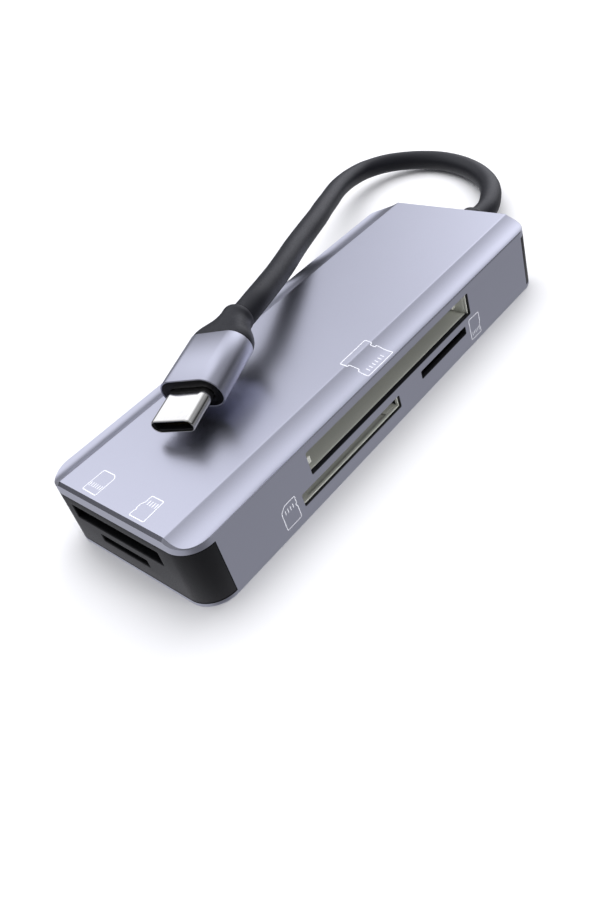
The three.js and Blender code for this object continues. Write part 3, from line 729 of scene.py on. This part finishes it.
def cord_curve(name, route, diameter, look):
    """A round cord along a smooth curve through the route's points."""
    points = [Vector(p) * MM for p in route]
    data = bpy.data.curves.new(name, "CURVE")
    data.dimensions = "3D"
    data.bevel_depth = diameter / 2 * MM
    data.bevel_resolution = 10
    data.resolution_u = 14
    data.use_fill_caps = True
    spline = data.splines.new("BEZIER")
    spline.bezier_points.add(len(points) - 1)
    handles = centripetal_handles(points)
    for i, (knot, point) in enumerate(zip(spline.bezier_points, points)):
        knot.handle_left_type = knot.handle_right_type = "FREE"
        knot.co = point
        knot.handle_left = handles[i - 1][1] if i else point * 2 - handles[0][0]
        knot.handle_right = handles[i][0] if i < len(handles) else point * 2 - handles[-1][1]
    data.materials.append(look)
    piece = bpy.data.objects.new(name, data)
    collection.objects.link(piece)
    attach(piece, "hub")
    return piece


def lathe_y(bm, profile, height, steps=48):
    """Turns a profile of (radius, y) about a line along Y at a height above the ground."""
    angles = [2 * math.pi * i / steps for i in range(steps)]
    rings = [ring(bm, [(radius * math.cos(a), y, height + radius * math.sin(a)) for a in angles])
             for radius, y in profile]
    for a, b in zip(rings, rings[1:]):
        bridge(bm, a, b)
    return rings


def relief():
    """Collar moulded on the lead where it leaves the rear cap."""
    bm = bmesh.new()
    collar, shank, end_y, end_round = 3.2, 2.45, 52.3, 0.8
    tube = CABLE_DIAMETER / 2 + 0.02
    face_y = HALF_LENGTH + 0.12
    profile = [(shank, HALF_LENGTH - 1.8), (shank, face_y), (collar - 0.15, face_y),
               (collar, face_y + 0.15)]
    for i in range(9):
        angle = math.pi / 2 * i / 8
        profile.append((tube + (collar - tube) * math.cos(angle),
                        end_y - end_round + end_round * math.sin(angle)))
    rings = lathe_y(bm, profile, EXIT_Z)
    face(bm, rings[0])
    face(bm, rings[-1])
    return bm


# ------------------------------------------------------------------ plug

# In the plug's own frame the sleeve's front rim is at y = 0, and the tip points along +Y.
SHANK = -3.4  # how deep the tip and the nose sit in the sleeve
plug_frame = (Matrix.Translation(PLUG_POSITION)
              @ Matrix.Rotation(math.radians(PLUG_TURN[2]), 4, "Z")
              @ Matrix.Rotation(math.radians(PLUG_TURN[0]), 4, "X")
              @ Matrix.Rotation(math.radians(PLUG_TURN[1]), 4, "Y"))


def stadium(width, height, y, inset=0.0, steps=16):
    """A ring of points in the plug's own frame at y, with round ends."""
    points = rounded_rect(width - 2 * inset, height - 2 * inset, height / 2 - inset - 1e-4, steps)
    return [(x, y, z) for x, z in points]


def stack(bm, rings, closed=True, lids=False):
    """Skins successive rings; closed joins the last to the first, and lids caps the ends."""
    loops = [ring(bm, points) for points in rings]
    for a, b in zip(loops, loops[1:]):
        bridge(bm, a, b)
    if closed:
        bridge(bm, loops[-1], loops[0])
    if lids:
        face(bm, loops[0])
        face(bm, loops[-1])


def plug_sleeve():
    """Thin aluminium tube with rounded rims."""
    bm = bmesh.new()
    w, h, length, wall = SLEEVE["width"], SLEEVE["height"], SLEEVE["length"], SLEEVE["wall"]
    profile = [(-length, wall), (-length, 0.1), (-length + 0.03, 0.03), (-length + 0.1, 0),
               (-0.12, 0), (-0.04, 0.03), (0, 0.1), (0, 0.16), (-0.04, 0.23), (-0.14, wall)]
    stack(bm, [stadium(w, h, y, inset) for y, inset in profile])
    return bm


def plug_nose():
    """Black filling between the sleeve and the tip, nearly flush with the sleeve's rim."""
    bm = bmesh.new()
    front, around_tip = -0.08, 0.1
    w, h = (SLEEVE[side] - 2 * SLEEVE["wall"] - 0.03 for side in ("width", "height"))
    rings = [stadium(w, h, y, inset)
             for y, inset in ((SHANK, 0), (front - 0.04, 0), (front, 0.04))]
    hole_w, hole_h = SHELL["width"] + around_tip, SHELL["height"] + around_tip
    rings += [stadium(hole_w, hole_h, y, inset)
              for y, inset in ((front, -0.06), (front - 0.06, 0), (SHANK, 0))]
    stack(bm, rings)
    return bm


def plug_tip():
    """Drawn steel shell with a rounded rim."""
    bm = bmesh.new()
    w, h, reach = SHELL["width"], SHELL["height"], SHELL["reach"]
    profile = [(SHANK, 0.22), (SHANK, 0), (reach - 0.3, 0), (reach - 0.14, 0.02),
               (reach - 0.04, 0.07), (reach, 0.13), (reach - 0.02, 0.19), (reach - 0.1, 0.22)]
    stack(bm, [stadium(w, h, y, inset) for y, inset in profile])
    return bm


def plug_lining():
    """Black lining of the tip, with the mouth that the port's tongue enters."""
    bm = bmesh.new()
    w, h, front = SHELL["width"] - 0.6, SHELL["height"] - 0.6, SHELL["reach"] - 0.22
    back, mouth_w, mouth_h, mouth_back = -2.4, 6.9, 1.36, -0.8
    rings = [stadium(w, h, y, inset)
             for y, inset in ((back, 0), (front - 0.05, 0), (front, 0.05))]
    mouth = [[(x, y, z) for x, z in rounded_rect(mouth_w + grow, mouth_h + grow, 0.25, 16)]
             for y, grow in ((front, 0.1), (front - 0.12, 0), (mouth_back, 0))]
    stack(bm, rings + mouth, closed=False, lids=True)
    return bm


# How round the boot has become, at distances from the sleeve: 0 is the sleeve's outline.
BOOT_BLEND = [(0, 0), (0.05, 0), (0.3, 0.01), (0.8, 0.04), (1.4, 0.11), (2.0, 0.22), (2.6, 0.36),
              (3.2, 0.51), (3.8, 0.66), (4.4, 0.79), (5.0, 0.9), (5.5, 0.965), (5.9, 1.0),
              (BOOT["length"], 1.0)]


def plug_boot():
    """Soft boot from the sleeve to the lead, ending in a rounded collar."""
    bm = bmesh.new()
    collar = BOOT["collar"] / 2
    tip = CABLE_DIAMETER / 2 - 0.7  # inside the lead, which leaves the boot at a slight angle
    start = -SLEEVE["length"] - 0.02
    outline = stadium(SLEEVE["width"] - 0.1, SLEEVE["height"] - 0.1, 0)
    flat = subdivided([Vector((x, z)) for x, _, z in outline], 0.5)
    around = [math.atan2(z, x) for x, z in flat]
    rings = []
    for along, blend in BOOT_BLEND:
        rings.append([(x + (collar * math.cos(angle) - x) * blend, start - along,
                       z + (collar * math.sin(angle) - z) * blend)
                      for (x, z), angle in zip(flat, around)])
    for i in range(1, 7):
        turn = math.pi / 2 * i / 6
        radius = tip + (collar - tip) * math.cos(turn)
        y = start - BOOT["length"] - BOOT["dome"] * math.sin(turn)
        rings.append([(radius * math.cos(angle), y, radius * math.sin(angle)) for angle in around])
    stack(bm, rings, closed=False, lids=True)
    return bm


plug_pieces = [
    finish_piece("plug_sleeve_skin", plug_sleeve(), [looks["aluminium"]], 50, plug_frame,
                 ["plug_sleeve"]),
    finish_piece("plug_nose_insert", plug_nose(), [looks["black"]], 50, plug_frame,
                 ["plug_nose"]),
    finish_piece("plug_tip_shell", plug_tip(), [looks["steel"]], 50, plug_frame,
                 ["plug_shell"]),
    finish_piece("plug_tip_lining", plug_lining(), [looks["black"]], 50, plug_frame,
                 ["plug_lining"]),
    finish_piece("plug_boot", plug_boot(), [looks["jacket"]], 60, plug_frame,
                 ["plug_neck"]),
]
collar = finish_piece("relief_collar", relief(), [looks["jacket"]], replaces=["strain_relief"])
# The lead runs on into the boot, so that no gap opens between them.
inside_boot = plug_frame @ Vector((0, -SLEEVE["length"] - 5, 0))
cable = cord_curve("cable_jacket", [*CABLE_ROUTE, inside_boot], CABLE_DIAMETER, looks["jacket"])
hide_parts("cable")

# ------------------------------------------------------------------ CAD nodes that stay

NODE_LOOKS = {
    "main_board": "laminate", "plug_board": "laminate", "crystal": "sheet",
    "bulk_capacitor": "tantalum", "cf_header": "ivory", "plug_inner_mould": "jacket",
}


def node_look(name):
    """The look of a CAD node that keeps its own shape, by its name."""
    if name in NODE_LOOKS:
        return NODE_LOOKS[name]
    if name.startswith("wire_"):
        return name
    if name.startswith("ceramic"):
        return "ceramic"
    if "contacts" in name or "pins" in name:
        return "gold"
    if name.endswith(("_shell", "_lever")):
        return "sheet"
    return "black" if name.endswith("_tray") else "resin"


for name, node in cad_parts.items():
    if node.hide_render:
        continue
    key = node_look(name)
    node.data.materials.clear()
    node.data.materials.append(looks[key])
    if key != "gold" and not name.startswith("wire_"):
        bevel(node, 0.06)

# ------------------------------------------------------------------ printed marks

LINE = 0.15  # width of a printed line
INK_LIFT = 0.006  # height of the ink above the metal


def printed_line(bm, points, surface, closed=True):
    """A flat ribbon along (u, v) points, which surface(u, v) puts in space."""
    if not closed:
        loop = [points[0] * 2 - points[1], *points, points[-1] * 2 - points[-2]]
    else:
        loop = [points[-1], *points, points[0]]
    left, right = [], []
    for before, here, after in zip(loop, loop[1:], loop[2:]):
        a, b = (here - before).normalized(), (after - here).normalized()
        normal = Vector((-(a + b).y, (a + b).x)).normalized()
        reach = LINE / 2 / max(0.3, normal.dot(Vector((-a.y, a.x))))
        left.append(here + normal * reach)
        right.append(here - normal * reach)
    a, b = (ring(bm, [surface(p.x, p.y) for p in side]) for side in (left, right))
    bridge(bm, a, b, closed)


def rounded_path(points, radius, steps=4):
    """Cuts each corner of a closed (u, v) path with an arc."""
    path = []
    count = len(points)
    for i in range(count):
        before, here, after = (Vector(points[k % count]) for k in (i - 1, i, i + 1))
        a, b = before - here, after - here
        cut = min(radius, a.length * 0.45, b.length * 0.45)
        start, end = here + a.normalized() * cut, here + b.normalized() * cut
        for k in range(steps + 1):
            t = k / steps
            path.append(start * (1 - t) ** 2 + here * 2 * t * (1 - t) + end * t * t)
    return path


def on_top(u, v):
    return (u, v, top_height(u) + INK_LIFT)


def on_side(u, v):
    return (HALF_WIDTH + INK_LIFT, u, v)


# Each card mark: the surface it is on, its outline, and strokes for the card's contacts.
CARD_MARKS = {
    "ms_mark": (on_top, [(-7.3, -43.5), (-7.2, -39.3), (-4.6, -39.3), (-4.0, -39.8),
                         (-4.0, -43.6)],
                [((-6.9 + 0.5 * i, -42.6), (-6.9 + 0.5 * i, -41.8)) for i in range(6)]),
    "tf_mark": (on_top, [(4.2, -43.7), (7.4, -43.7), (7.2, -39.6), (4.6, -39.6), (4.6, -40.9),
                         (4.2, -41.4), (4.2, -42.3), (4.45, -42.5), (4.2, -42.8)],
                [((5.2 + 0.55 * i, -41.2), (5.2 + 0.55 * i, -40.3)) for i in range(4)]),
    "cf_mark": (on_top, [(11.23, -4.73), (12.21, -4.79), (12.64, -4.78), (12.63, -4.27),
                         (14.17, -3.82), (14.26, -4.3), (16.25, -4.31), (16.26, 2.21),
                         (13.35, 2.0), (13.34, 1.5), (12.61, 1.3), (12.61, 1.83), (11.19, 1.87)],
                [((14.9, -3.1 + 0.75 * i), (15.6, -3.1 + 0.75 * i)) for i in range(6)]),
    "sd_mark": (on_side, [(-25.8, 5.75), (-28.0, 5.75), (-28.9, 4.95), (-28.9, 1.57),
                          (-25.75, 1.57), (-25.75, 3.75), (-26.0, 4.15), (-26.0, 4.4),
                          (-25.8, 4.42)],
                [((-28.2 + 0.55 * i, 4.9), (-28.2 + 0.55 * i, 4.1)) for i in range(4)]),
    "m2_mark": (on_side, [(24.35, 5.1), (21.3, 5.2), (21.27, 4.8), (21.36, 4.1), (21.3, 3.2),
                          (21.36, 1.1), (24.45, 1.0), (24.3, 1.84), (24.1, 2.4), (24.4, 3.3)],
                [((21.9 + 0.5 * i, 1.7), (21.9 + 0.5 * i, 2.4)) for i in range(5)]),
}


def card_mark(surface, outline, strokes):
    """A card's printed outline and contact strokes."""
    bm = bmesh.new()
    printed_line(bm, subdivided(rounded_path(outline, 0.25), 0.25), surface)
    for start, end in strokes:
        a, b = Vector(start), Vector(end)
        line = [a + (b - a) * k / 4 for k in range(5)]
        printed_line(bm, line, surface, closed=False)
    return bm


for name, mark in CARD_MARKS.items():
    finish_piece(name, card_mark(*mark), [looks["ink"]])

# ------------------------------------------------------------------ floor and light

FLOOR_REACH = 3  # metres


def paper_floor():
    """Pale paper; the metal shows the studio's own grey below the horizon in its place."""
    r = FLOOR_REACH
    mesh = bpy.data.meshes.new("floor")
    mesh.from_pydata([(-r, -r, 0), (r, -r, 0), (r, r, 0), (-r, r, 0)], [], [(0, 1, 2, 3)])
    floor = bpy.data.objects.new("floor", mesh)
    collection.objects.link(floor)
    paper = Look("paper", (0.88, 0.88, 0.885), 0.7)
    paper.bump(paper.noise(0.6, detail=2), 0.01, 0.1)
    mesh.materials.append(paper.material)
    floor.visible_glossy = False
    return floor


floor = paper_floor()


# The studio as it shows in the metal. Each list runs over the cosine of the angle between a
# direction and an axis: height is up, sides and right are +X, back is +Y.
STUDIO_TINT = (1, 1.01, 1.09)
STUDIO_BELOW = [(-1, 0.44), (-0.45, 0.39), (-0.2, 0.24), (0.1, 0.03)]
STUDIO_SIDES = [(-0.8, 1.4), (0, 1.17), (0.7, 0.84)]
STUDIO_FLAG = (0.62, -0.45, -0.64)
STUDIO_FLAG_EDGE = [(0.8, 1), (0.97, 0.5)]
STUDIO_ABOVE = [(0.15, 0), (0.3, 0.32), (0.4, 0.66), (0.5, 0.8), (0.7, 1), (0.85, 0.85),
                (1, 1.1)]
STUDIO_RIGHT = [(-1, 1.5), (-0.87, 1.25), (-0.76, 0.95), (-0.3, 0.97), (0, 0.72),
                (0.3, 0.35)]
STUDIO_BACK = [(-0.5, 0.6), (0, 0.93), (0.3, 1.4), (0.5, 0.96), (0.7, 0.78)]
STUDIO_LAMP = (-0.2, 0.93, 0.3)
STUDIO_LAMP_EDGE = [(0.84, 0), (0.92, 0.55), (0.98, 1.35)]


def studio():
    """A soft studio, bright above and to the left, with a lamp behind and a grey floor."""
    world = bpy.data.worlds.new("studio")
    world.use_nodes = True
    tree = world.node_tree
    direction = tree.nodes.new("ShaderNodeTexCoord").outputs["Generated"]

    def math_node(operation, a, b):
        made = tree.nodes.new("ShaderNodeMath")
        made.operation = operation
        for socket, value in zip(made.inputs, (a, b)):
            if isinstance(value, bpy.types.NodeSocket):
                tree.links.new(value, socket)
            else:
                socket.default_value = value
        return made.outputs[0]

    def along(axis):
        """Cosine of the angle between the direction and an axis."""
        made = tree.nodes.new("ShaderNodeVectorMath")
        made.operation = "DOT_PRODUCT"
        tree.links.new(direction, made.inputs[0])
        made.inputs[1].default_value = Vector(axis).normalized()
        return made.outputs["Value"]

    def gradient(cosine, stops):
        """Brightness that follows (cosine, brightness) stops smoothly; a ramp holds 0 to 1."""
        made = tree.nodes.new("ShaderNodeValToRGB")
        made.color_ramp.interpolation = "EASE"
        elements = made.color_ramp.elements
        while len(elements) < len(stops):
            elements.new(0.5)
        for element, (position, value) in zip(elements, stops):
            element.position = (position + 1) / 2
            element.color = (value / 2, value / 2, value / 2, 1)
        share = math_node("ADD", math_node("MULTIPLY", cosine, 0.5), 0.5)
        tree.links.new(share, made.inputs[0])
        return math_node("MULTIPLY", made.outputs[0], 2)

    height = along((0, 0, 1))
    below = gradient(height, STUDIO_BELOW)
    below = math_node("MULTIPLY", below, gradient(along((1, 0, 0)), STUDIO_SIDES))
    below = math_node("MULTIPLY", below, gradient(along(STUDIO_FLAG), STUDIO_FLAG_EDGE))
    above = gradient(height, STUDIO_ABOVE)
    above = math_node("MULTIPLY", above, gradient(along((1, 0, 0)), STUDIO_RIGHT))
    above = math_node("MULTIPLY", above, gradient(along((0, 1, 0)), STUDIO_BACK))
    behind = gradient(along(STUDIO_LAMP), STUDIO_LAMP_EDGE)
    total = math_node("ADD", math_node("ADD", below, above), behind)
    background = tree.nodes["Background"]
    tree.links.new(total, background.inputs["Strength"])
    background.inputs["Color"].default_value = (*STUDIO_TINT, 1)
    return world


bpy.context.scene.world = studio()


def area_light(name, place, size, power):
    """A soft box aimed at the object, which lights it without showing in its metal."""
    data = bpy.data.lights.new(name, "AREA")
    data.shape = "RECTANGLE"
    data.size, data.size_y = size
    data.energy = power
    light = bpy.data.objects.new(name, data)
    collection.objects.link(light)
    light.location = place
    light.rotation_euler = (-Vector(place)).to_track_quat("-Z", "Y").to_euler()
    light.visible_glossy = False


area_light("overhead", (-0.25, 0.25, 0.7), (1.1, 1.1), 7.5)
area_light("beside_the_slots", (0.5, 0, 0.3), (0.3, 0.3), 1.2)
bpy.context.scene.view_settings.view_transform = "Standard"
